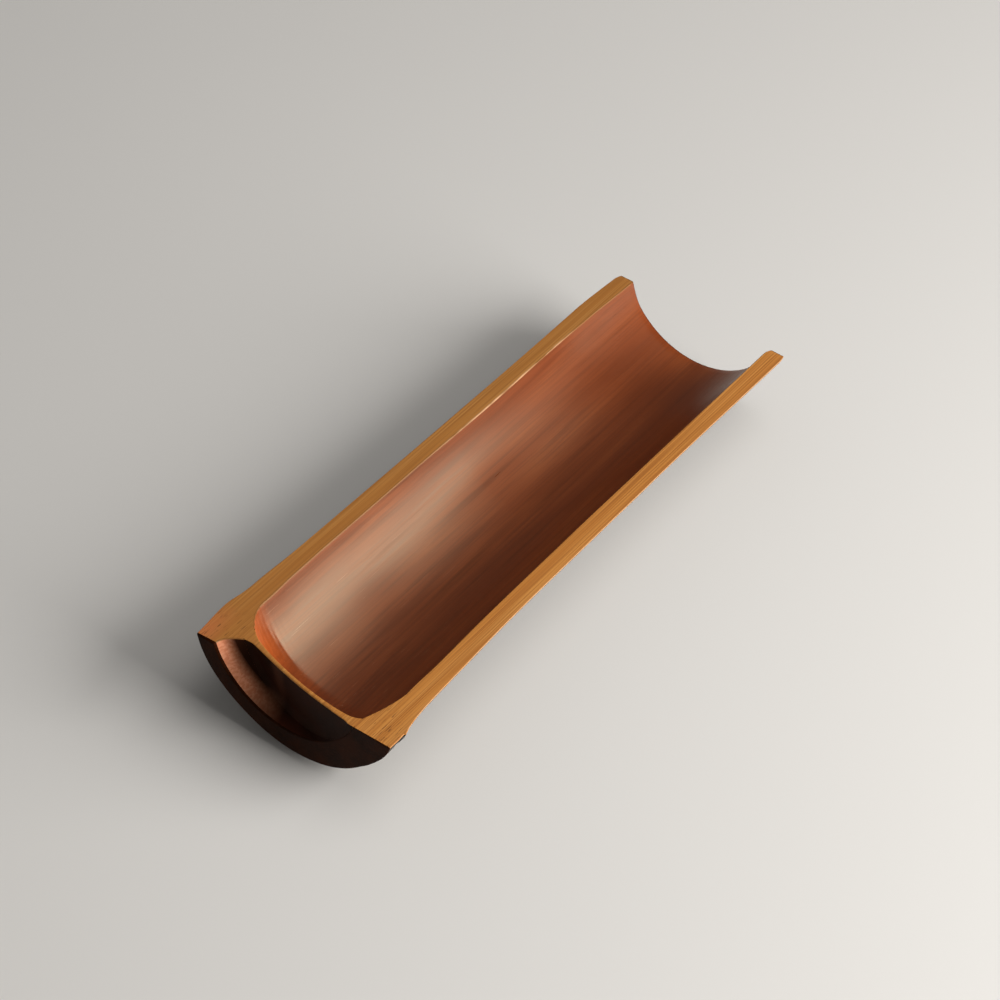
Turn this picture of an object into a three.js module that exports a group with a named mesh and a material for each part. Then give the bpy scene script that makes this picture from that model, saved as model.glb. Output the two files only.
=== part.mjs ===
// A tea scoop split from one length of bamboo, lying on its round back with the hollow side up.
// The culm runs along +X from the heel to the open mouth, +Z is up and the split rims are level.
// The wood grew in one piece. The meshes are the stretches of it that have names of their own,
// and they meet where one growth passes into the next. All lengths are in millimetres.

import * as THREE from "three";
import { mergeVertices } from "three/addons/utils/BufferGeometryUtils.js";

const { sqrt, sin, cos, tan, acos, exp, min, max, PI } = Math;
const { degToRad, lerp, smoothstep } = THREE.MathUtils;

// The culm and the cuts that make a scoop of it
const LENGTH = 155; // from the sawn heel to the sawn mouth
const CULM_RADIUS = 25.25; // outside of the wall, well away from the node
const SPLIT_DROP = 5.8; // the split runs this far below the culm's centre line
const WALL = 4.35; // thickness of the wall at the mouth
const WALL_GAIN = 0.6; // how much thicker the wall has become where the node begins
const MOUTH_ROUND = 0.8; // radius of the two worn edges round the mouth

// The wall widens towards its node, and the node stands a little off the culm's centre
const FLARE = 1.6;
const FLARE_REACH = 85; // from the heel to where the flare has died out
const FLARE_POWER = 1.3;
const NODE_OFFSET = 0.85; // towards -Y
const OFFSET_REACH = 55;

// The scar where the sheath was attached: a lip that faces the heel, on a slant round the culm
const SCAR_X = 7.8;
const SCAR_SLANT = tan(degToRad(5));
const SCAR_RISE = 1.25;
const SCAR_REACH = 3.4; // the rise fades over this length towards the mouth
const SLANT_REACH = 45; // from the heel to where the sections stand square again
const LIP_DROP = 0.55; // the step down behind the lip
const LIP_DEPTH = 0.5; // along the culm
const LIP_FADE_START = degToRad(25); // from straight down towards +Y, where the lip begins to be sanded off
const LIP_FADE_END = degToRad(70);

// The rounded growth ridge behind the scar and the stub of the next internode
const RIDGE_BEHIND_SCAR = 3.6;
const RIDGE_RISE = 0.75;
const RIDGE_SPREAD = 2;
const STUB_DROP = 1.15; // from the lip down to the sawn heel
const STUB_HOLLOW_WIDENING = 4.2; // how much the shallow hollow opens from the diaphragm to the heel
const STUB_HOLLOW_FULL_DEPTH = 5; // the hollow opens in full where it is this deep
const STUB_HOLLOW_LEAST_DEPTH = 0.5;
const STUB_HOLLOW_POWER = 4; // how squarely the hollow's bottom turns into its side

// The diaphragm, a thin dished membrane that grows across the culm on a slant of its own
const DIAPHRAGM_RADIUS = 18;
const DIAPHRAGM_X = 2.55;
const DIAPHRAGM_SLANT = tan(degToRad(9.6));
const DIAPHRAGM_DISH = 1.6; // how far its middle bulges towards the heel
const DIAPHRAGM_MIDDLE = 1.1; // thickness
const DIAPHRAGM_EDGE = 2.3; // thickness
const ROOT_RISE = 0.8; // each face flares by this much where the membrane grows out of the wall
const ROOT_WIDTH = 3;
const SEAM = 0.3; // clearance between the membrane and the shoulder that carries it
const CORNER_LEFT = 5.8; // length of the hollow corner between wall and diaphragm, on the +Y side
const CORNER_RIGHT = 11.5; // and on the -Y side
const CORNER_POWER_LEFT = 2; // a round corner
const CORNER_POWER_RIGHT = 1.15; // an almost straight taper

// Where the named stretches end
const COLLAR_END = 18;

// How finely the surfaces are divided
const AROUND = 44;
const TROUGH_ROWS = 10;
const COLLAR_ROWS = 9;
const STUB_HOLLOW_ROWS = 6;
const STUB_CORNER_ROWS = 3;
const DIAPHRAGM_ROWS = 9;
const MOUTH_STEPS = 4;
const CLOSING_POWER = 1.4; // rows lie closer together towards the node, by this power
const SETTLING_ROUNDS = 6; // a point settles on its radius and angle in so many rounds

// The columns of points, as shares of the way from the culm's lowest line to either rim
const COLUMNS = Array.from({ length: AROUND + 1 }, (_, j) => (2 * j) / AROUND - 1);

const BAMBOO_SPLIT = { color: 0xb9803f, roughness: 0.5, metalness: 0 };
const BAMBOO_SKIN = { color: 0x5a3219, roughness: 0.42, metalness: 0 };
const BAMBOO_INNER = { color: 0x9a5a30, roughness: 0.38, metalness: 0 };

// Sideways place of the culm's centre at a distance s from the heel
function centreY(s) {
  return -NODE_OFFSET * (1 - smoothstep(s, 0, OFFSET_REACH));
}

// Sections of the culm are flat but not all square to it: this is how much x they gain per y
function slant(s) {
  const towardsHeel = s / SCAR_X;
  const towardsMouth = 1 - smoothstep(s, SCAR_X, SLANT_REACH);
  return SCAR_SLANT * (s < SCAR_X ? towardsHeel : towardsMouth);
}

// Outside radius between the scar and the mouth
function wallOutside(s) {
  const flare = FLARE * max(0, 1 - s / FLARE_REACH) ** FLARE_POWER;
  const rise = SCAR_RISE * exp(-(s - SCAR_X) / SCAR_REACH);
  return CULM_RADIUS + flare + rise;
}

// Outside radius between the heel and the scar. The lip and the ridge die out towards the +Y rim.
function stubOutside(s, angle) {
  const behind = SCAR_X - s;
  const kept = 1 - smoothstep(angle, LIP_FADE_START, LIP_FADE_END);
  const settle = smoothstep(behind, LIP_DEPTH, SCAR_X);
  const hump = exp(-(((behind - RIDGE_BEHIND_SCAR) / RIDGE_SPREAD) ** 2));
  const ridge = RIDGE_RISE * hump * smoothstep(behind, LIP_DEPTH, RIDGE_BEHIND_SCAR);
  const lip = wallOutside(SCAR_X);
  const body = lip - STUB_DROP * settle + kept * (ridge - LIP_DROP * (1 - settle));
  return behind < LIP_DEPTH ? lerp(lip, body, behind / LIP_DEPTH) : body;
}

// Inside radius of the wall, clear of the node
function wallInside(s) {
  const gain = WALL_GAIN * (1 - smoothstep(s, COLLAR_END, FLARE_REACH));
  const flare = FLARE * max(0, 1 - s / FLARE_REACH) ** FLARE_POWER;
  return CULM_RADIUS + flare - WALL - gain;
}

// Middle surface of the diaphragm: its x at the place (y, radius from the culm's centre line)
function diaphragmX(y, radius) {
  return DIAPHRAGM_X + DIAPHRAGM_SLANT * y + DIAPHRAGM_DISH * (radius / DIAPHRAGM_RADIUS) ** 2;
}

function diaphragmThickness(radius) {
  const root = max(0, 1 - (DIAPHRAGM_RADIUS - radius) / ROOT_WIDTH) ** 2;
  return lerp(DIAPHRAGM_MIDDLE, DIAPHRAGM_EDGE, (radius / DIAPHRAGM_RADIUS) ** 4) + 2 * ROOT_RISE * root;
}

// The shoulder that carries the diaphragm, at one angle round the culm
function shoulderAt(angle) {
  const y = centreY(0) + DIAPHRAGM_RADIUS * sin(angle);
  const middle = diaphragmX(y, DIAPHRAGM_RADIUS);
  const half = diaphragmThickness(DIAPHRAGM_RADIUS) / 2;
  const back = max(STUB_HOLLOW_LEAST_DEPTH, middle - half);
  return { back, front: max(middle + half, back + DIAPHRAGM_MIDDLE), radius: DIAPHRAGM_RADIUS + SEAM };
}

// Inside radius in front of the diaphragm: the hollow corner, then the wall
function hollowRadius(x, s, angle) {
  const shoulder = shoulderAt(angle);
  const side = (1 + sin(angle)) / 2;
  const length = lerp(CORNER_RIGHT, CORNER_LEFT, side);
  const left = max(0, 1 - max(0, x - shoulder.front) / length);
  return lerp(wallInside(s), shoulder.radius, left ** lerp(CORNER_POWER_RIGHT, CORNER_POWER_LEFT, side));
}

// Inside radius of the shallow hollow behind the diaphragm
function stubHollowRadius(x, angle) {
  const shoulder = shoulderAt(angle);
  const widening = STUB_HOLLOW_WIDENING * min(1, shoulder.back / STUB_HOLLOW_FULL_DEPTH);
  return shoulder.radius + widening * (1 - (x / shoulder.back) ** STUB_HOLLOW_POWER);
}

// A row of points from rim to rim. Where a point lies depends on its angle round the culm, so the
// angle is set again from the point's own radius until the row ends exactly at the split.
// A spot with no x of its own lies on the flat section at s.
function rimToRim(spotAt) {
  return COLUMNS.map((part, j) => {
    let radius = CULM_RADIUS;
    let spot;
    for (let round = 0; round < SETTLING_ROUNDS; round += 1) {
      spot = spotAt(part * acos(SPLIT_DROP / radius), radius, j);
      radius = spot.radius;
    }
    const angle = part * acos(SPLIT_DROP / radius);
    const y = centreY(spot.s) + radius * sin(angle);
    const x = spot.x ?? spot.s + slant(spot.s) * y;
    return new THREE.Vector3(x, y, SPLIT_DROP - radius * cos(angle));
  });
}

// A row of points on the outside of the flat section at s
function outsideRow(s, worn = 0) {
  return rimToRim((angle) => {
    const radius = (s < SCAR_X ? stubOutside(s, angle) : wallOutside(s)) - worn;
    return { s, radius };
  });
}

// A row of points on the inside of the flat section at s
function hollowRow(s, worn = 0) {
  return rimToRim((angle, radius) => {
    const x = s + slant(s) * (centreY(s) + radius * sin(angle));
    return { s, radius: hollowRadius(x, s, angle) + worn };
  });
}

// Rows of the stub's inside from the heel, over the shoulder, to the section at the scar
function stubInsideRows() {
  const scarRow = hollowRow(SCAR_X);
  const rows = [];
  for (let i = 0; i < STUB_HOLLOW_ROWS; i += 1) {
    const part = 1 - (1 - i / (STUB_HOLLOW_ROWS - 1)) ** CLOSING_POWER;
    rows.push(rimToRim((angle) => {
      const x = shoulderAt(angle).back * part;
      return { s: 0, x, radius: stubHollowRadius(x, angle) };
    }));
  }
  for (let i = 0; i < STUB_CORNER_ROWS; i += 1) {
    rows.push(rimToRim((angle, _, j) => {
      const x = lerp(shoulderAt(angle).front, scarRow[j].x, i / STUB_CORNER_ROWS);
      return { s: 0, x, radius: hollowRadius(x, SCAR_X, angle) };
    }));
  }
  return [...rows, scarRow];
}

// Places along a stretch of wall, closer together at the end towards the node
function closingUp(from, to, rows) {
  return Array.from({ length: rows + 1 }, (_, i) => lerp(from, to, (i / rows) ** CLOSING_POWER));
}

// A closed solid between an outside and an inside that have as many rows of as many points
function solidBetween(outside, inside) {
  const columns = outside[0].length;
  const rows = outside.length;
  const points = [...outside.flat(), ...inside.flat()];
  const at = (layer, i, j) => layer * rows * columns + i * columns + j;
  const faces = [];
  const quad = (a, b, c, d) => faces.push(a, b, c, a, c, d);
  for (let i = 0; i + 1 < rows; i += 1) {
    for (let j = 0; j + 1 < columns; j += 1) {
      quad(at(0, i, j), at(0, i, j + 1), at(0, i + 1, j + 1), at(0, i + 1, j));
      quad(at(1, i, j), at(1, i + 1, j), at(1, i + 1, j + 1), at(1, i, j + 1));
    }
    const last = columns - 1;
    quad(at(0, i, 0), at(0, i + 1, 0), at(1, i + 1, 0), at(1, i, 0));
    quad(at(0, i, last), at(1, i, last), at(1, i + 1, last), at(0, i + 1, last));
  }
  const end = rows - 1;
  for (let j = 0; j + 1 < columns; j += 1) {
    quad(at(0, 0, j), at(1, 0, j), at(1, 0, j + 1), at(0, 0, j + 1));
    faces.push(at(0, end, j), at(1, end, j + 1), at(1, end, j));
    faces.push(at(0, end, j), at(0, end, j + 1), at(1, end, j + 1));
  }
  return closedGeometry(points, faces);
}

// Joins points that coincide and drops the triangles that have no area
function closedGeometry(points, faces) {
  const raw = new THREE.BufferGeometry().setFromPoints(points);
  raw.setIndex(faces);
  const merged = mergeVertices(raw, 1e-4);
  const index = Array.from(merged.index.array);
  const kept = [];
  for (let i = 0; i < index.length; i += 3) {
    const [a, b, c] = index.slice(i, i + 3);
    if (a !== b && b !== c && c !== a) kept.push(a, b, c);
  }
  merged.setIndex(kept);
  merged.computeVertexNormals();
  return merged;
}

function piece(name, geometry, finish) {
  const mesh = new THREE.Mesh(geometry, new THREE.MeshStandardMaterial(finish));
  mesh.name = name;
  return mesh;
}

// The long wall of the trough, from the collar to the mouth with its worn edges
function troughWall() {
  const roundStart = LENGTH - MOUTH_ROUND;
  const stations = closingUp(COLLAR_END, roundStart, TROUGH_ROWS).map((s) => ({ s, worn: 0 }));
  for (let i = 1; i <= MOUTH_STEPS; i += 1) {
    const turn = (i / MOUTH_STEPS) * (PI / 2);
    stations.push({ s: roundStart + MOUTH_ROUND * sin(turn), worn: MOUTH_ROUND * (1 - cos(turn)) });
  }
  const outside = stations.map(({ s, worn }) => outsideRow(s, worn));
  const inside = stations.map(({ s, worn }) => hollowRow(s, worn));
  return piece("trough_wall", solidBetween(outside, inside), BAMBOO_INNER);
}

// The collar in front of the scar, where the wall swells and turns in towards the diaphragm
function nodeCollar() {
  const stations = closingUp(SCAR_X, COLLAR_END, COLLAR_ROWS);
  const outside = stations.map((s) => outsideRow(s));
  const inside = stations.map((s) => hollowRow(s));
  return piece("node_collar", solidBetween(outside, inside), BAMBOO_SPLIT);
}

// The heel behind the scar: the growth ridge and the short stub of the next internode
function heelStub() {
  const inside = stubInsideRows();
  const evenRows = inside.length - 2;
  const stations = inside.map((_, i) => (i > evenRows ? SCAR_X : lerp(0, SCAR_X - LIP_DEPTH, i / evenRows)));
  const outside = stations.map((s) => outsideRow(s));
  return piece("heel_stub", solidBetween(outside, inside), BAMBOO_SKIN);
}

// The membrane across the culm, cut off level with the rims. Its rows close up towards its root.
function diaphragm() {
  const centre = centreY(0);
  const rimAngle = acos(SPLIT_DROP / DIAPHRAGM_RADIUS);
  const face = (side) => {
    return Array.from({ length: DIAPHRAGM_ROWS + 1 }, (_, i) => {
      return COLUMNS.map((part) => {
        const across = DIAPHRAGM_RADIUS * sin(part * rimAngle);
        const depth = DIAPHRAGM_RADIUS * cos(part * rimAngle) - SPLIT_DROP;
        const z = -depth * sin((i / DIAPHRAGM_ROWS) * (PI / 2));
        const radius = sqrt(across ** 2 + (z - SPLIT_DROP) ** 2);
        const shift = (side * diaphragmThickness(radius)) / 2;
        const x = max(0, diaphragmX(centre + across, radius) + shift);
        return new THREE.Vector3(x, centre + across, z);
      });
    });
  };
  return piece("diaphragm", solidBetween(face(-1), face(1)), BAMBOO_INNER);
}

const scoop = new THREE.Group();
scoop.add(troughWall(), nodeCollar(), heelStub(), diaphragm());

// The origin is the middle of the footprint, at the lowest point of the round back
const box = new THREE.Box3().setFromObject(scoop);
const centre = box.getCenter(new THREE.Vector3());
scoop.position.set(-centre.x, -centre.y, -box.min.z);

export default scoop;
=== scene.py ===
"""A tea scoop split from one length of carbonised bamboo, on a pale floor."""
import math

import bpy
import numpy as np
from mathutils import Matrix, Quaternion, Vector


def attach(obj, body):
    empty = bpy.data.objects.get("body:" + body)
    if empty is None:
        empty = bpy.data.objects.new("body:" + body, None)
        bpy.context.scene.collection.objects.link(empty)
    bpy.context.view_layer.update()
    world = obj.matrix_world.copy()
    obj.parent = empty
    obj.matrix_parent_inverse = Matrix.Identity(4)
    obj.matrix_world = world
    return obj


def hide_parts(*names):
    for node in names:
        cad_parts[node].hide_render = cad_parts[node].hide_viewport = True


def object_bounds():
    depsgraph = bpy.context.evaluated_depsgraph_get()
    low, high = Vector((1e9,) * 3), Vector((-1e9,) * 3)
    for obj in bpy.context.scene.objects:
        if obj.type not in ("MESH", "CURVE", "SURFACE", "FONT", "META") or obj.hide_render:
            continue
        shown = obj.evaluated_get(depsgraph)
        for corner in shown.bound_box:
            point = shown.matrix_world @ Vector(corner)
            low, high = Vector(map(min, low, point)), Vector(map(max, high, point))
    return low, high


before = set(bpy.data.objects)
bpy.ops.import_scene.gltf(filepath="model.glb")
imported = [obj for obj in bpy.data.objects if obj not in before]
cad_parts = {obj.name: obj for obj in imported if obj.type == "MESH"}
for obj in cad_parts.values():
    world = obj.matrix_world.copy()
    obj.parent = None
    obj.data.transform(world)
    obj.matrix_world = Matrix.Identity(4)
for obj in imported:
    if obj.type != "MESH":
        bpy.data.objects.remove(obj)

CAD_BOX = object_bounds()
MM = 0.001

# Sizes are in millimetres, x from the sawn heel and z from the split rims. An angle round the culm is 0 at
# its lowest line, and positive towards the left rim as seen from the heel.

# The culm as it was split, a little below its centre line: wider and thicker at the node than at the mouth
LENGTH = 155
CULM_RADIUS = 25.25
SPLIT_DROP = 5.8
RIM_ANGLE = math.radians(78)
WALL = 4.35
WALL_GAIN = 0.6
FLARE = 1.6
FLARE_REACH = 85
FLARE_POWER = 1.3
NODE_OFFSET = 0.85
OFFSET_REACH = 55
COLLAR_END = 18

# The left wall is a little thinner past the node, and the right one thicker where it turns in to it
LEFT_THINNER = 0.3
THINNER_ANGLE = math.radians(42)
THINNER_START = 18
THINNER_FULL = 25.8
THINNER_FADE = 45
THINNER_END = 85
RIGHT_THICKER = 0.38
THICKER_ANGLE = math.radians(22)
THICKER_X = 16
THICKER_SPREAD = 6

# The slanting scar outside the node, with its lip, and the growth ridge and the stub behind it
SCAR_X = 7.8
SCAR_SLANT = math.tan(math.radians(5))
SLANT_REACH = 45
SCAR_RISE = 1.25
SCAR_REACH = 3.4
LIP_DROP = 0.55
LIP_DEPTH = 0.5
LIP_FADE_START = math.radians(25)
LIP_FADE_END = math.radians(70)
RIDGE_BEHIND_SCAR = 3.6
RIDGE_RISE = 0.75
RIDGE_SPREAD = 2
STUB_DROP = 2.2

# By the left rim there is no lip: the wall swells a little, rises to a low crest, and falls away to the heel
CREST_X = 8.2
CREST_RISE = 1.15
CREST_TO_HEEL = 6.5
CREST_TO_MOUTH = 5
SWELL_X = 19
SWELL_RISE = 0.45
SWELL_SPREAD = 8

# The right flank is flatter than round, its rim stands out a little, and its stub hardly drops behind the lip
FLAT_ANGLE = math.radians(-59)
FLAT_HALF = math.radians(19)
FLAT_POWER = 1.5
FLAT_DEPTH = 1.2
FLAT_DEPTH_HEEL = 0.3
RIGHT_START = math.radians(40)
RIGHT_END = math.radians(76)
RIGHT_RIM_OUT = 0.32
RIGHT_STUB_DROP = 0.3
RIGHT_RIDGE = 0.1
RIGHT_LIP = 0.6

# The dished and slanting membrane across the culm, thicker at its root
DIAPHRAGM_RADIUS = 18.15
DIAPHRAGM_X = 2.55
DIAPHRAGM_SLANT = math.tan(math.radians(9.6))
DIAPHRAGM_DISH = 1.6
DIAPHRAGM_MIDDLE = 0.95
DIAPHRAGM_EDGE = 2.1
DIAPHRAGM_POWER = 4
ROOT_RISE = 0.8
ROOT_WIDTH = 3

# The trough's hollow corner in front of the membrane: tight on the left and broad on the right
CORNER_LEFT = 7.5
CORNER_RIGHT = 11.5
CORNER_POWER_LEFT = 2.2
CORNER_POWER_RIGHT = 1.15

# Creases in the left corner, where the wall turns in
CREASE_DEPTH = 0.15
CREASE_SPACING = 1.4
CREASE_REACH = 2.8
CREASE_START = math.radians(22)
CREASE_FULL = math.radians(42)

# The bowl of the stub behind the membrane, which runs out to nothing on the right
BOWL_WIDENING = 4
BOWL_FULL_DEPTH = 5
BOWL_LEAST_DEPTH = 0.1
BOWL_POWER_RIM = 2.4
BOWL_POWER_BOTTOM = 1.1

# Wear: eased edges, a mouth rubbed down a little more, and its two tips
ARRIS = 0.28
ARRIS_STEPS = 3
MOUTH_WEAR_OUTSIDE = 0.45
MOUTH_WEAR_INSIDE = 0.225
MOUTH_WEAR_RIM = 0.15
MOUTH_WEAR_REACH = 2.2
RIM_WEAR_DEPTH = 3
LEFT_TIP_IN = 0.9
LEFT_TIP_IN_HOLLOW = 0.63
LEFT_TIP_REACH = 16
LEFT_TIP_POWER = 1.3
LEFT_TIP_START = 0.7
RIGHT_TIP_WEAR = 0.5
RIGHT_TIP_REACH = 2.5
RIGHT_TIP_START = 0.8

# The wall isn't quite even: slow waves inside and outside, clear of the node
WAVE_START = 22
WAVE_FULL = 45
WAVE_INSIDE = 0.13
WAVE_OUTSIDE = 0.1

# How finely the wall and the membrane are divided, and half the width of a slat before it is bent
AROUND = 112
MEMBRANE_ACROSS = 88
HALF_GIRTH = 34

# The radius at a rim sets its angle, and the angle the radius: both settle in this many rounds
SETTLING_ROUNDS = 7

# On a flat slat: how near two places are the same, and how square or how slanted a face is to an axis
SAME_PLACE = 1e-4
SQUARE = 0.98
SLANTED = 0.1

# In metres and radians: points that are merged, and the sharpest bend that is shaded smooth
MERGE_WITHIN = 1e-6
SMOOTH_BEND = math.radians(35)


def mix(low, high, share):
    return low + (high - low) * share


def smooth(value, low, high):
    part = np.clip((value - low) / (high - low), 0, 1)
    return part * part * (3 - 2 * part)


def bump(value, middle, spread):
    """A bell curve, 1 at its middle."""
    return np.exp(-(((value - middle) / spread) ** 2))


def centre_y(x):
    return -NODE_OFFSET * (1 - smooth(x, 0, OFFSET_REACH))


# The heel, the rims and the culm's middle in the frame's own metres
HEEL = CAD_BOX[0].x
RIM = CAD_BOX[1].z
MIDDLE_Y = -float(centre_y(SCAR_X)) * MM


def section_slant(x):
    """How far forward a section of the culm lies for each millimetre to the left."""
    return SCAR_SLANT * np.where(x < SCAR_X, x / SCAR_X, 1 - smooth(x, SCAR_X, SLANT_REACH))


def flare(x):
    return FLARE * np.maximum(0, 1 - x / FLARE_REACH) ** FLARE_POWER


def left_outside(x):
    """Radius of the skin by the left rim, where the lip has been sanded off."""
    crest = CREST_RISE * bump(x, CREST_X, np.where(x < CREST_X, CREST_TO_HEEL, CREST_TO_MOUTH))
    return CULM_RADIUS + flare(x) + crest + SWELL_RISE * bump(x, SWELL_X, SWELL_SPREAD)


def wall_outside(x, right):
    """Radius of the skin in front of the scar, where it rises to the lip. right is 1 by the right rim."""
    rise = SCAR_RISE * np.exp(-np.maximum(0, x - SCAR_X) / SCAR_REACH)
    return CULM_RADIUS + flare(x) + rise + RIGHT_RIM_OUT * right * smooth(x, COLLAR_END, OFFSET_REACH)


def stub_outside(x, right):
    """Radius of the skin behind the scar: a step down from the lip, the ridge, and the stub."""
    lip = CULM_RADIUS + flare(SCAR_X) + SCAR_RISE
    behind = np.maximum(0, SCAR_X - x)
    settle = smooth(behind, LIP_DEPTH, SCAR_X)
    ridge = RIDGE_RISE * bump(behind, RIDGE_BEHIND_SCAR, RIDGE_SPREAD)
    ridge = ridge * smooth(behind, LIP_DEPTH, RIDGE_BEHIND_SCAR) * mix(1, RIGHT_RIDGE, right)
    step = LIP_DROP * (1 - settle) * mix(1, RIGHT_LIP, right)
    stub = lip - mix(STUB_DROP, RIGHT_STUB_DROP, right) * settle + ridge - step
    return mix(lip, stub, np.minimum(1, behind / LIP_DEPTH))


def flattening(x, angle):
    """How far the right flank lies inside a true round."""
    depth = mix(FLAT_DEPTH_HEEL, FLAT_DEPTH, smooth(x, 0, SCAR_X))
    return depth * np.maximum(0, 1 - ((angle - FLAT_ANGLE) / FLAT_HALF) ** 2) ** FLAT_POWER


def outside(x, angle):
    """Radius of the skin."""
    right = smooth(-angle, RIGHT_START, RIGHT_END)
    grown = np.where(x < SCAR_X, stub_outside(x, right), wall_outside(x, right)) - flattening(x, angle)
    return mix(left_outside(x), grown, 1 - smooth(angle, LIP_FADE_START, LIP_FADE_END))


def membrane_thickness(radius):
    root = np.maximum(0, 1 - (DIAPHRAGM_RADIUS - radius) / ROOT_WIDTH) ** 2
    grown = mix(DIAPHRAGM_MIDDLE, DIAPHRAGM_EDGE, (radius / DIAPHRAGM_RADIUS) ** DIAPHRAGM_POWER)
    return grown + 2 * ROOT_RISE * root


def membrane_middle(y, radius):
    return DIAPHRAGM_X + DIAPHRAGM_SLANT * y + DIAPHRAGM_DISH * (radius / DIAPHRAGM_RADIUS) ** 2


def shoulder(angle):
    """Back and front of the land that carries the membrane, at an angle round the culm."""
    half = membrane_thickness(DIAPHRAGM_RADIUS) / 2
    middle = membrane_middle(DIAPHRAGM_RADIUS * np.sin(angle) - NODE_OFFSET, DIAPHRAGM_RADIUS)
    back = np.maximum(BOWL_LEAST_DEPTH, middle - half)
    return back, np.maximum(middle + half, back + DIAPHRAGM_MIDDLE)


# Where the land lies along a slat that isn't bent yet
LAND_BACK, LAND_FRONT = (float(edge) for edge in shoulder(0))


def along_hollow(u, angle, y):
    """Place along the culm for the station u on the inner side of a slat."""
    back, front = shoulder(angle)
    at_scar = SCAR_X + SCAR_SLANT * y
    on_land = mix(back, front, (u - LAND_BACK) / (LAND_FRONT - LAND_BACK))
    in_corner = mix(front, at_scar, (u - LAND_FRONT) / (SCAR_X - LAND_FRONT))
    x = np.where(u < SCAR_X, in_corner, u + section_slant(u) * y)
    x = np.where(u < LAND_FRONT, on_land, x)
    return np.where(u < LAND_BACK, back * u / LAND_BACK, x)


def bowl_radius(x, angle):
    """Radius of the stub's bowl, which widens from the membrane to the saw cut."""
    back = shoulder(angle)[0]
    widening = BOWL_WIDENING * np.minimum(1, back / BOWL_FULL_DEPTH)
    power = mix(BOWL_POWER_BOTTOM, BOWL_POWER_RIM, (angle / RIM_ANGLE) ** 2)
    return DIAPHRAGM_RADIUS + widening * (1 - np.clip(x / back, 0, 1) ** power)


def uneven_wall(x, angle):
    """How much wider the trough is than a true round, less on the right than on the left."""
    thinner = smooth(angle, THINNER_ANGLE, RIM_ANGLE) * smooth(x, THINNER_START, THINNER_FULL)
    thinner = thinner * (1 - smooth(x, THINNER_FADE, THINNER_END))
    thicker = smooth(-angle, THICKER_ANGLE, RIM_ANGLE) * bump(x, THICKER_X, THICKER_SPREAD)
    return LEFT_THINNER * thinner - RIGHT_THICKER * thicker


def creases(ahead, angle):
    """Small folds in the left corner, which die out away from the membrane."""
    fold = np.sin(math.tau * ahead / CREASE_SPACING) * np.exp(-np.abs(ahead) / CREASE_REACH)
    return CREASE_DEPTH * fold * smooth(angle, CREASE_START, CREASE_FULL)


def trough_radius(u, x, angle):
    """Radius of the trough, which closes in to the membrane in a hollow corner."""
    ahead = x - shoulder(angle)[1]
    left = (1 + np.sin(angle)) / 2
    out_of_corner = np.clip(ahead / mix(CORNER_RIGHT, CORNER_LEFT, left), 0, 1)
    closing = (1 - out_of_corner) ** mix(CORNER_POWER_RIGHT, CORNER_POWER_LEFT, left)
    s = np.maximum(u, SCAR_X)
    plain = CULM_RADIUS + flare(s) - WALL - WALL_GAIN * (1 - smooth(s, COLLAR_END, FLARE_REACH))
    return mix(plain, DIAPHRAGM_RADIUS, closing) + uneven_wall(x, angle) + creases(ahead, angle)


def inside(u, angle, y):
    """Place along the culm and radius of the hollow for the station u of a slat."""
    x = along_hollow(u, angle, y)
    radius = np.where(u < LAND_FRONT, DIAPHRAGM_RADIUS, trough_radius(u, x, angle))
    return x, np.where(u < LAND_BACK, bowl_radius(x, angle), radius)


def near_mouth(u, reach):
    """0 up to the last stretch of the culm, and then up to 1 at the mouth."""
    return np.clip((u - LENGTH + reach) / reach, 0, 1)


def wave(u, angle, times, length, start):
    """A slow wave, from -1 to 1, so many times round a whole culm, with a length in millimetres a radian."""
    return np.sin(times * angle + start[0]) * np.sin(u / length + start[1])


def bend(u, v, w):
    """Bends a flat slat round the culm. u runs along it, v across it, w from the skin (0) inwards."""
    inner = w < -WALL / 2
    side = v / HALF_GIRTH
    rubbed_and_lit = near_mouth(u, MOUTH_WEAR_REACH) ** 2
    left_tip = near_mouth(u, LEFT_TIP_REACH) ** LEFT_TIP_POWER * smooth(side, LEFT_TIP_START, 1)
    right_tip = near_mouth(u, RIGHT_TIP_REACH) ** 2 * smooth(-side, RIGHT_TIP_START, 1)
    hollow_wear = MOUTH_WEAR_INSIDE * rubbed_and_lit - LEFT_TIP_IN_HOLLOW * left_tip + RIGHT_TIP_WEAR * right_tip
    skin_wear = MOUTH_WEAR_OUTSIDE * rubbed_and_lit + LEFT_TIP_IN * left_tip
    clear = smooth(u, WAVE_START, WAVE_FULL)
    radius = np.full_like(u, CULM_RADIUS)
    for _ in range(SETTLING_ROUNDS):
        angle = side * np.arccos(SPLIT_DROP / radius)
        y = centre_y(u) + radius * np.sin(angle)
        hollow_x, hollow = inside(u, angle, y)
        hollow_wave = WAVE_INSIDE * clear * wave(u, angle, times=3, length=7.6, start=(0.5, 1.1))
        skin_wave = WAVE_OUTSIDE * clear * (wave(u, angle, times=2, length=11, start=(1.3, 0.4)) + 1)
        hollow = hollow + hollow_wave + hollow_wear + WALL + w
        radius = np.where(inner, hollow, outside(u, angle) - skin_wave - skin_wear + w)
    angle = side * np.arccos(SPLIT_DROP / radius)
    y = centre_y(u) + radius * np.sin(angle)
    x = np.where(inner, hollow_x, u + section_slant(u) * y)
    z = SPLIT_DROP - radius * np.cos(angle)
    return x, y, z - MOUTH_WEAR_RIM * rubbed_and_lit * smooth(z, -RIM_WEAR_DEPTH, 0)


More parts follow.
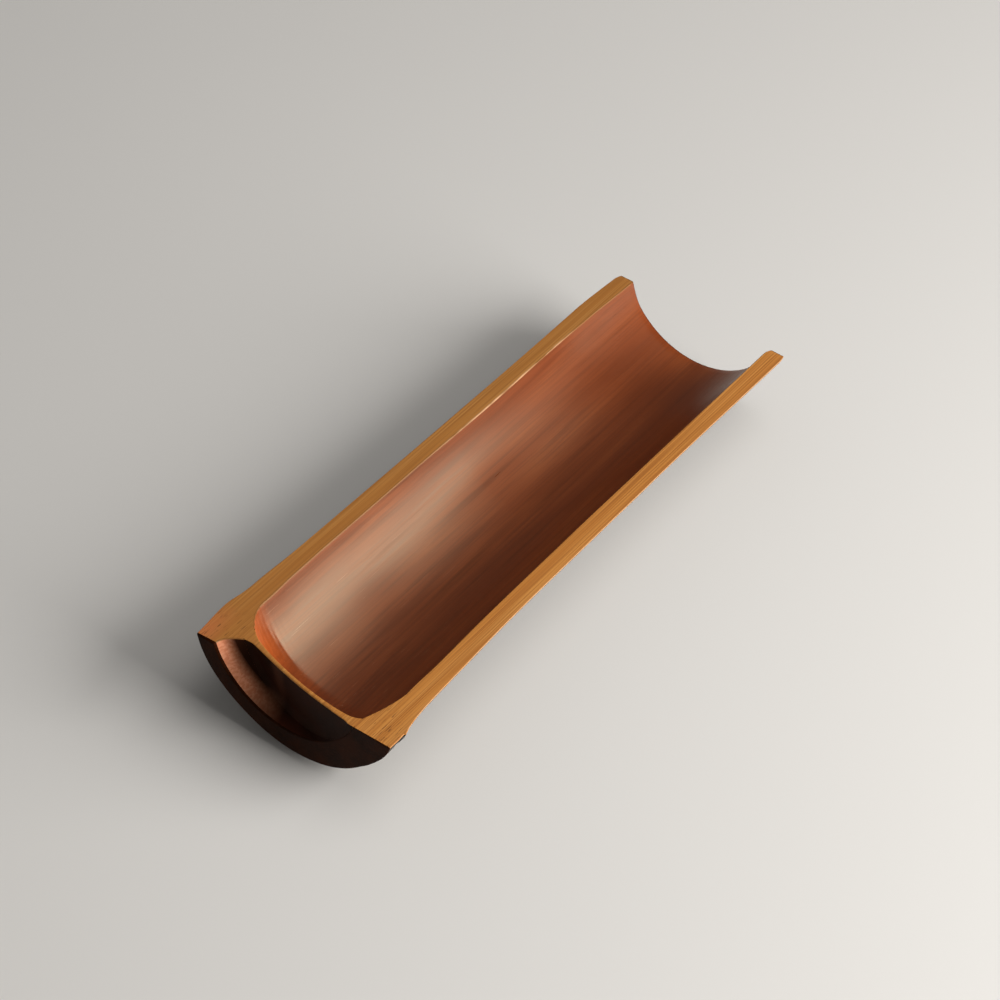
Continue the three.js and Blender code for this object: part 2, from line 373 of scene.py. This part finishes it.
def bend_membrane(u, v, w):
    """Sets a flat slat across the culm. u runs down from the rims, v across, and w back from its face (0)."""
    angle = v / HALF_GIRTH * math.acos(SPLIT_DROP / DIAPHRAGM_RADIUS)
    across = DIAPHRAGM_RADIUS * np.sin(angle)
    deep = DIAPHRAGM_RADIUS * np.cos(angle) - SPLIT_DROP
    z = -deep * u / (DIAPHRAGM_RADIUS - SPLIT_DROP)
    radius = np.hypot(across, z - SPLIT_DROP)
    middle = membrane_middle(across - NODE_OFFSET, radius)
    half = membrane_thickness(radius) / 2
    x = np.where(w > -DIAPHRAGM_MIDDLE / 2, middle + half + w, middle - half + w + DIAPHRAGM_MIDDLE)
    return np.maximum(0, x), across + centre_y((LAND_BACK + LAND_FRONT) / 2), z


def spread(low, high, steps, power=1):
    """Places from low up to, and not including, high. A power over 1 sets them closer together at low."""
    return [low + (high - low) * (i / steps) ** power for i in range(steps)]


def only(thing):
    bpy.ops.object.select_all(action="DESELECT")
    thing.select_set(True)
    bpy.context.view_layer.objects.active = thing


def reshape(thing, change):
    """Moves every point of a mesh by a function of its x, y and z."""
    mesh = thing.data
    flat = np.empty(len(mesh.vertices) * 3)
    mesh.vertices.foreach_get("co", flat)
    moved = np.stack(change(*flat.reshape(-1, 3).T), axis=1)
    mesh.vertices.foreach_set("co", moved.ravel())
    mesh.update()


def flat_slat(name, stations, columns, thickness):
    """A flat slat with a row of points at each station along it, its upper face at z = 0."""
    rows = len(stations) - 1
    bpy.ops.object.select_all(action="DESELECT")
    bpy.ops.mesh.primitive_grid_add(x_subdivisions=rows, y_subdivisions=columns, size=1)
    made = bpy.context.object
    made.name = made.data.name = name
    even = np.linspace(-0.5, 0.5, rows + 1)
    reshape(made, lambda x, y, z: (np.interp(x, even, stations), y * 2 * HALF_GIRTH, z))
    wall = made.modifiers.new("wall", "SOLIDIFY")
    wall.thickness = thickness
    wall.offset = -1
    bpy.ops.object.modifier_apply(modifier="wall")
    return made


def ease_edges(thing, worn):
    """Bevels the edges that the given function calls worn from their two points."""
    only(thing)
    bpy.ops.object.mode_set(mode="EDIT")
    bpy.ops.mesh.select_mode(type="EDGE")
    bpy.ops.mesh.select_all(action="DESELECT")
    bpy.ops.object.mode_set(mode="OBJECT")
    points = thing.data.vertices
    for edge in thing.data.edges:
        a, b = (points[i].co for i in edge.vertices)
        edge.select = worn(a, b)
    bpy.ops.object.mode_set(mode="EDIT")
    bpy.ops.mesh.bevel(offset=ARRIS, segments=ARRIS_STEPS, affect="EDGES", clamp_overlap=False)
    bpy.ops.object.mode_set(mode="OBJECT")


def near(a, b):
    return abs(a - b) < SAME_PLACE


def wall_worn(sawn):
    """Makes the function for a slat of wall: its split edges are worn, and those of its sawn ends."""

    def worn(a, b):
        on_rim = near(abs(a.y), HALF_GIRTH) and near(a.y, b.y)
        at_saw = near(a.x, b.x) and any(near(a.x, end) for end in sawn)
        on_face = near(a.z, b.z)
        on_land = a.z < -WALL / 2 and LAND_BACK < (a.x + b.x) / 2 < LAND_FRONT
        return (on_rim and (on_face or at_saw) and not on_land) or (at_saw and on_face)

    return worn


def top_worn(a, b):
    """The function for the membrane: the two edges of its top are worn."""
    return near(a.x, 0) and near(b.x, 0) and near(a.z, b.z)


def wall_finish(face):
    """The finish of a face on a flat slat of wall, from the side that it lies on."""
    way = face.normal
    if abs(way.y) > SQUARE:
        return SPLIT
    if abs(way.x) > SLANTED:
        return END_GRAIN
    if abs(way.z) < SQUARE:
        return RUBBED_AND_HIGHLIT
    if way.z > 0:
        return SKIN
    return BOWL if face.center.x < LAND_BACK else INNER


def membrane_finish(face):
    """The finish of a face on the flat membrane: its front, its back, or its split top."""
    if face.normal.z > SQUARE:
        return INNER
    return BOWL if face.normal.z < -SQUARE else SPLIT


def lay_finishes(thing, choose):
    for surface in FINISHES:
        thing.data.materials.append(surface)
    for face in thing.data.polygons:
        face.material_index = choose(face)


def finish(thing, node):
    """Puts a bent piece at its place in the frame, in metres, where it stands for its node."""
    reshape(thing, lambda x, y, z: (HEEL + x * MM, MIDDLE_Y + y * MM, RIM + z * MM))
    only(thing)
    bpy.ops.object.mode_set(mode="EDIT")
    bpy.ops.mesh.select_all(action="SELECT")
    bpy.ops.mesh.remove_doubles(threshold=MERGE_WITHIN)
    bpy.ops.mesh.normals_make_consistent(inside=False)
    bpy.ops.object.mode_set(mode="OBJECT")
    bpy.ops.object.shade_smooth_by_angle(angle=SMOOTH_BEND)
    even = thing.modifiers.new("even", "WEIGHTED_NORMAL")
    even.keep_sharp = True
    bpy.ops.object.modifier_apply(modifier="even")
    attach(thing, "root")
    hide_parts(node)


def linear(hex_colour):
    """An sRGB hex colour as the linear values that a shader takes."""
    parts = [int(hex_colour[i : i + 2], 16) / 255 for i in (1, 3, 5)]
    return [c / 12.92 if c <= 0.04045 else ((c + 0.055) / 1.055) ** 2.4 for c in parts] + [1]


def add(tree, kind, inputs=None, stops=None, out=0, **settings):
    """Adds a node with its settings, its values, colours or links, and a ramp's stops. Returns one output."""
    made = tree.nodes.new("ShaderNode" + kind)
    for name, value in settings.items():
        setattr(made, name, value)
    for key, value in (inputs or {}).items():
        if isinstance(value, bpy.types.NodeSocket):
            tree.links.new(value, made.inputs[key])
        else:
            made.inputs[key].default_value = linear(value) if isinstance(value, str) else value
    if stops:
        ramp = made.color_ramp
        while len(ramp.elements) < len(stops):
            ramp.elements.new(0.5)
        for element, (place, colour) in zip(ramp.elements, stops):
            element.position = place
            element.color = linear(colour)
    return made.outputs[out] if made.outputs else None


def material(name):
    made = bpy.data.materials.new(name)
    made.use_nodes = True
    made.node_tree.nodes.clear()
    return made, made.node_tree


def fibres(tree, along, across, detail=3, distortion=0.0):
    """Noise drawn out along the culm: streaks of about these lengths and widths in millimetres."""
    place = add(tree, "TexCoord", out="Object")
    scale = (1 / (along * MM), 1 / (across * MM), 1 / (across * MM))
    drawn = add(tree, "Mapping", {"Vector": place, "Scale": scale})
    return add(tree, "TexNoise", {"Vector": drawn, "Scale": 1, "Detail": detail, "Distortion": distortion})


def fade(tree, share, axis, start, end):
    """A share that is nothing at one place along an axis of the frame and whole at another."""
    level = add(tree, "SeparateXYZ", {0: add(tree, "TexCoord", out="Object")}, out=axis)
    places = {"From Min": start * MM, "From Max": end * MM}
    return add(tree, "MapRange", {"Value": level, "To Max": share, **places})


# Oil and wax over bamboo: their refraction, and the warmth that the fibres give to the gloss
FINISH_IOR = 1.5
GLOSS_TINT = "#FFF6CF"


def close_surface(tree, colour, roughness, relief, depth, gloss):
    """Ends a finish, with its relief's depth in millimetres and its gloss drawn out across the fibres."""
    normal = add(tree, "Bump", {"Height": relief, "Strength": 1, "Distance": depth * MM})
    round_culm = add(tree, "Tangent", direction_type="RADIAL", axis="X")
    values = {"Base Color": colour, "Roughness": roughness, "Normal": normal, "Tangent": round_culm}
    values.update({"IOR": FINISH_IOR, "Specular Tint": GLOSS_TINT})
    values.update(gloss)
    add(tree, "OutputMaterial", {"Surface": add(tree, "BsdfPrincipled", values)})


# The sawn heel in the frame, in millimetres, for the finishes that turn on it
HEEL_X = HEEL / MM


def split_colour(tree):
    """The fine fibres of the split face, and its colour."""
    # Bundles of fibre 0.3 mm wide run on for centimetres, in broad bands of paler and darker gold
    fine = fibres(tree, 34, 0.3)
    bands = fibres(tree, 70, 1.8, detail=2)
    gold = add(tree, "ValToRGB", {0: bands}, [(0.3, "#C0772F"), (0.5, "#CE863B"), (0.72, "#DA984D")])
    between = add(tree, "MapRange", {"Value": fine, "From Min": 0.36, "From Max": 0.6})
    colour = add(tree, "Mix", {0: between, 6: "#AE6A2B", 7: gold}, out=2, data_type="RGBA")
    # The left rim is duller than the right one
    left = fade(tree, 0.5, "Y", -20, 20)
    colour = add(tree, "Mix", {0: left, 6: colour, 7: "#94602A"}, out=2, data_type="RGBA")
    # Stain has reddened the outer left corner at the heel
    corner = fade(tree, fade(tree, 0.5, "Y", 21, 25), "X", HEEL_X + 12, HEEL_X + 3)
    colour = add(tree, "Mix", {0: corner, 6: colour, 7: "#CE6E42"}, out=2, data_type="RGBA")
    # Vessels cut open show as short brown strokes by the heel, on both sides of the membrane's top
    short = fibres(tree, 3.4, 0.27, detail=1, distortion=0.2)
    vessels = add(tree, "MapRange", {"Value": short, "From Min": 0.645, "From Max": 0.68})
    vessels = fade(tree, vessels, "X", HEEL_X + 13, HEEL_X + 4)
    sides = {0: fade(tree, vessels, "Y", -17, -19), 1: fade(tree, vessels, "Y", 17, 19)}
    vessels = add(tree, "Math", sides, operation="MAXIMUM")
    return fine, add(tree, "Mix", {0: vessels, 6: colour, 7: "#6A3C1A"}, out=2, data_type="RGBA")


def split_bamboo():
    """Bamboo split and sanded: golden, with fine straight fibres, dull against the oiled hollow."""
    made, tree = material("split_and_sanded_bamboo")
    fine, colour = split_colour(tree)
    rough = add(tree, "MapRange", {"Value": fine, "To Min": 0.46, "To Max": 0.58})
    close_surface(tree, colour, rough, fine, 0.05, {"Anisotropic": 0.3})
    return made


def inner_bamboo():
    """The inside of a carbonised culm, scraped and oiled: red-brown satin with a streaky, drawn-out gloss."""
    made, tree = material("carbonised_inner_bamboo_oiled")
    # Long soft patches, with darker grain that fades out towards the mouth, and faint fibres
    patches = fibres(tree, 45, 7, detail=2, distortion=0.3)
    colour = add(tree, "ValToRGB", {0: patches}, [(0.3, "#78320F"), (0.5, "#853B15"), (0.7, "#93471D")])
    streak = fibres(tree, 32, 1.1, detail=3, distortion=0.15)
    grain = add(tree, "MapRange", {"Value": streak, "From Min": 0.54, "From Max": 0.32, "To Max": 0.6})
    grain = fade(tree, grain, "X", 110, 0)
    colour = add(tree, "Mix", {0: grain, 6: colour, 7: "#5F260A"}, out=2, data_type="RGBA")
    fine = fibres(tree, 30, 0.35)
    lines = add(tree, "MapRange", {"Value": fine, "From Min": 0.54, "From Max": 0.36, "To Max": 0.4})
    colour = add(tree, "Mix", {0: lines, 6: colour, 7: "#65290E"}, out=2, data_type="RGBA")
    # Painted light: the left corner at the membrane glows a warm orange, lighter than the wall's own colour
    corner = fade(tree, fade(tree, 0.7, "X", HEEL_X + 17, HEEL_X + 9), "Y", 4, 14)
    corner = fade(tree, corner, "Z", 6, 15)
    colour = add(tree, "Mix", {0: corner, 6: colour, 7: "#CC6024"}, out=2, data_type="RGBA")
    # A few pale scratches along the culm near the heel, drawn wider than real ones so that they show
    thin = fibres(tree, 12, 0.14, detail=1)
    scratch = add(tree, "MapRange", {"Value": thin, "From Min": 0.74, "From Max": 0.78, "To Max": 0.5})
    scratch = fade(tree, scratch, "X", 0, HEEL_X + 20)
    colour = add(tree, "Mix", {0: scratch, 6: colour, 7: "#DDA480"}, out=2, data_type="RGBA")
    rough = add(tree, "MapRange", {"Value": streak, "To Min": 0.24, "To Max": 0.38})
    close_surface(tree, colour, rough, fine, 0.012, {"Anisotropic": 0.88, "Specular IOR Level": 0.75})
    return made


def bamboo_skin():
    """The waxed outer skin of a carbonised culm: near-black brown, with a low even gloss."""
    made, tree = material("carbonised_bamboo_skin_waxed")
    broad = fibres(tree, 40, 5, detail=3)
    fine = fibres(tree, 45, 0.4)
    colour = add(tree, "ValToRGB", {0: broad}, [(0.3, "#1E1107"), (0.5, "#28180A"), (0.72, "#35210F")])
    lines = add(tree, "MapRange", {"Value": fine, "From Min": 0.52, "From Max": 0.34, "To Max": 0.4})
    colour = add(tree, "Mix", {0: lines, 6: colour, 7: "#160C05"}, out=2, data_type="RGBA")
    rough = add(tree, "MapRange", {"Value": broad, "To Min": 0.36, "To Max": 0.5})
    close_surface(tree, colour, rough, fine, 0.02, {"Specular IOR Level": 0.25})
    return made


def bamboo_end_grain():
    """Sawn end grain: dark in its own colour and darker still as painted shade, with close dots where the
    vessels were cut across.
    """
    made, tree = material("sawn_bamboo_end_grain")
    place = add(tree, "TexCoord", out="Object")
    # Vessels stand about 0.6 mm apart
    vessels = add(tree, "TexVoronoi", {"Vector": place, "Scale": 1 / (0.6 * MM)})
    cloud = add(tree, "TexNoise", {"Vector": place, "Scale": 1 / (6 * MM), "Detail": 3})
    # Painted shade: the end grain's own dark brown is taken down to near black
    colour = add(tree, "ValToRGB", {0: cloud}, [(0.35, "#1E0A03"), (0.65, "#301305")])
    dots = add(tree, "MapRange", {"Value": vessels, "From Min": 0.35, "From Max": 0.15, "To Max": 0.4})
    colour = add(tree, "Mix", {0: dots, 6: colour, 7: "#40200E"}, out=2, data_type="RGBA")
    rough = add(tree, "MapRange", {"Value": cloud, "To Min": 0.36, "To Max": 0.5})
    close_surface(tree, colour, rough, vessels, 0.015, {"Specular IOR Level": 0.03})
    return made


def rubbed_edge_painted_highlight():
    """The rubbed edge between split face and wall: as the split face, with pale painted highlights along it
    in places.
    """
    made, tree = material("rubbed_bamboo_edge_painted_highlight")
    fine, colour = split_colour(tree)
    # Inside the left rim the edge is dull brown, with a pale painted highlight in patches along its middle
    left = fade(tree, fade(tree, 1, "Y", 16, 17), "Y", 22.8, 22.4)
    dull = add(tree, "MapRange", {"Value": left, "To Max": 0.65})
    colour = add(tree, "Mix", {0: dull, 6: colour, 7: "#6E421C"}, out=2, data_type="RGBA")
    patches = fibres(tree, 16, 9, detail=3)
    pale_highlight = add(tree, "MapRange", {"Value": patches, "From Min": 0.5, "From Max": 0.62, "To Max": left})
    pale_highlight = fade(tree, fade(tree, pale_highlight, "X", -10, 20), "X", 54, 44)
    colour = add(tree, "Mix", {0: pale_highlight, 6: colour, 7: "#D9A679"}, out=2, data_type="RGBA")
    # Outside the right rim a pale painted highlight runs along the edge from the scar on, broken at first and
    # then whole
    highlight_breaks = fibres(tree, 3, 3, detail=2)
    broken_highlight = add(tree, "MapRange", {"Value": highlight_breaks, "From Min": 0.42, "From Max": 0.5})
    whole = fade(tree, 1, "X", HEEL_X + 12, -40)
    pale_highlight = add(tree, "Math", {0: broken_highlight, 1: whole}, operation="MAXIMUM")
    pale_highlight = fade(tree, fade(tree, pale_highlight, "Y", -23.4, -23.8), "X", HEEL_X + 5, HEEL_X + 8)
    colour = add(tree, "Mix", {0: pale_highlight, 6: colour, 7: "#BE8654"}, out=2, data_type="RGBA")
    rough = add(tree, "MapRange", {"Value": fine, "To Min": 0.4, "To Max": 0.5})
    close_surface(tree, colour, rough, fine, 0.02, {})
    return made


def bowl_painted_light_and_shade():
    """The stub's bowl behind the membrane: painted nearly black as shade, with a pale painted lit band on the
    left by the saw cut that dims to brown at its bottom.
    """
    made, tree = material("bamboo_node_painted_light_and_shade")
    cloud = fibres(tree, 6, 6, detail=3)
    # Painted shade: nearly black over the bowl, where the membrane shades it
    black = add(tree, "ValToRGB", {0: cloud}, [(0.35, "#1E0A03"), (0.65, "#2C1107")])
    # Painted light: brown low in the bowl, and a pale lit band with fine lines on its left, only next to the
    # saw cut
    low = fade(tree, 1, "Z", 10, 6)
    brown = add(tree, "Mix", {0: low, 6: black, 7: "#54281A"}, out=2, data_type="RGBA")
    fine = fibres(tree, 14, 0.5, detail=2)
    lines = add(tree, "MapRange", {"Value": fine, "From Min": 0.4, "From Max": 0.6, "To Max": 0.5})
    pale = add(tree, "Mix", {0: lines, 6: "#C07654", 7: "#DE9C78"}, out=2, data_type="RGBA")
    left = fade(tree, fade(tree, 1, "Y", 4, 14), "Z", 2, 13)
    rubbed_and_lit = add(tree, "Mix", {0: left, 6: brown, 7: pale}, out=2, data_type="RGBA")
    by_saw = fade(tree, 1, "X", HEEL_X + 4, HEEL_X + 2)
    colour = add(tree, "Mix", {0: by_saw, 6: black, 7: rubbed_and_lit}, out=2, data_type="RGBA")
    rough = add(tree, "MapRange", {"Value": cloud, "To Min": 0.4, "To Max": 0.5})
    close_surface(tree, colour, rough, cloud, 0.03, {"Specular IOR Level": 0.04})
    return made


FINISHES = [split_bamboo(), inner_bamboo(), bamboo_skin(), bamboo_end_grain(), rubbed_edge_painted_highlight(), bowl_painted_light_and_shade()]
SPLIT, INNER, SKIN, END_GRAIN, RUBBED_AND_HIGHLIT, BOWL = range(len(FINISHES))


def make_wall(name, node, stations, sawn=()):
    """One stretch of the culm's wall, worn where it was split or sawn."""
    made = flat_slat(name, stations, AROUND, WALL)
    ease_edges(made, wall_worn(sawn))
    lay_finishes(made, wall_finish)
    reshape(made, bend)
    finish(made, node)


def make_membrane():
    depth = DIAPHRAGM_RADIUS - SPLIT_DROP
    down = [0] + spread(2 * ARRIS, depth - ROOT_WIDTH, steps=14)
    down += spread(depth - ROOT_WIDTH, depth, steps=14) + [depth]
    made = flat_slat("bamboo_diaphragm", down, MEMBRANE_ACROSS, DIAPHRAGM_MIDDLE)
    ease_edges(made, top_worn)
    lay_finishes(made, membrane_finish)
    reshape(made, bend_membrane)
    finish(made, "diaphragm")


def make_scoop():
    """The wall in three stretches, with stations close together where the shape is fine, and the membrane."""
    heel = [0] + spread(2 * ARRIS, LAND_BACK, steps=7) + spread(LAND_BACK, LAND_FRONT, steps=8)
    heel += spread(LAND_FRONT, SCAR_X - LIP_DEPTH, steps=8) + spread(SCAR_X - LIP_DEPTH, SCAR_X, steps=3)
    make_wall("bamboo_heel_stub", "heel_stub", heel + [SCAR_X], sawn=[0])
    collar = spread(SCAR_X, COLLAR_END, steps=40, power=1.2)
    make_wall("bamboo_node_collar", "node_collar", collar + [COLLAR_END])
    trough = spread(COLLAR_END, LENGTH - MOUTH_WEAR_REACH, steps=130)
    trough += spread(LENGTH - MOUTH_WEAR_REACH, LENGTH, steps=5)
    make_wall("bamboo_trough_wall", "trough_wall", trough + [LENGTH], sawn=[LENGTH])
    make_membrane()


# The scoop lies on its node and on the lip of its mouth, so the floor tilts that much in its frame
MOUTH_BOTTOM = RIM + (SPLIT_DROP - CULM_RADIUS) * MM
REST_RUN = (LENGTH - SCAR_X) * MM
FLOOR_COLOUR = "#E4E0DA"
FLOOR_SIZE = 8
FLOOR_GAP = 0.2 * MM


def make_floor():
    tilt = math.atan(MOUTH_BOTTOM / REST_RUN)
    bpy.ops.object.select_all(action="DESELECT")
    bpy.ops.mesh.primitive_plane_add(size=FLOOR_SIZE, location=(HEEL + SCAR_X * MM, 0, -FLOOR_GAP))
    floor = bpy.context.object
    floor.name = "floor"
    floor.rotation_euler = (0, -tilt, 0)
    made, tree = material("matt_studio_floor")
    shader = add(tree, "BsdfPrincipled", {"Base Color": FLOOR_COLOUR, "Roughness": 0.9})
    add(tree, "OutputMaterial", {"Surface": shader})
    floor.data.materials.append(made)


def lamp(name, towards, distance, width, height, power):
    """A soft upright lamp that shines on the heel from a direction. Metres and watts."""
    data = bpy.data.lights.new(name, "AREA")
    data.shape = "RECTANGLE"
    data.size = width
    data.size_y = height
    data.energy = power
    made = bpy.data.objects.new(name, data)
    bpy.context.scene.collection.objects.link(made)
    way = Vector(towards).normalized()
    made.location = Vector((HEEL, 0, 0)) + way * distance
    made.rotation_euler = way.to_track_quat("Z", "Y").to_euler()


# How bright the room is for the scoop, and how white it is for the camera, where 1 is white
ROOM_LIGHT = 0.13
ROOM_WHITE = 0.9


def make_light():
    """A low window on the right, whose gloss lies along the left wall, a weak ceiling, and a pale room."""
    lamp("window", towards=(0.33, -0.88, 0.31), distance=0.8, width=0.65, height=0.75, power=12.4)
    lamp("ceiling", towards=(0.3, -0.3, 1), distance=1.4, width=1, height=1, power=4.4)
    world = bpy.data.worlds.new("room")
    bpy.context.scene.world = world
    world.use_nodes = True
    tree = world.node_tree
    tree.nodes.clear()
    seen = add(tree, "LightPath", out="Is Camera Ray")
    strength = add(tree, "MapRange", {"Value": seen, "To Min": ROOM_LIGHT, "To Max": ROOM_WHITE})
    sky = add(tree, "Background", {"Color": "#FFFFFF", "Strength": strength})
    add(tree, "OutputWorld", {"Surface": sky})


# The photograph's camera, fitted to the traced edges: place from the heel's rim in millimetres
CAMERA_PLACE = (-346.4, -304.3, 505.3)
CAMERA_AZIMUTH = math.radians(-54.18)
CAMERA_ELEVATION = math.radians(44.28)
CAMERA_ROLL = math.radians(1.8)
FOCAL_PIXELS = 3200
IMAGE_PIXELS = 1000
SENSOR = 36


def make_camera():
    data = bpy.data.cameras.new("camera")
    data.sensor_width = SENSOR
    data.lens = SENSOR * FOCAL_PIXELS / IMAGE_PIXELS
    made = bpy.data.objects.new("camera", data)
    bpy.context.scene.collection.objects.link(made)
    x, y, z = CAMERA_PLACE
    made.location = (HEEL + x * MM, MIDDLE_Y + y * MM, RIM + z * MM)
    flat = math.cos(CAMERA_ELEVATION)
    back = (math.sin(CAMERA_AZIMUTH) * flat, -math.cos(CAMERA_AZIMUTH) * flat, math.sin(CAMERA_ELEVATION))
    level = Vector(back).to_track_quat("Z", "Y")
    made.rotation_euler = (level @ Quaternion((0, 0, 1), CAMERA_ROLL)).to_euler()
    bpy.context.scene.camera = made


make_scoop()
make_floor()
make_light()
make_camera()
bpy.context.scene.view_settings.view_transform = "Standard"
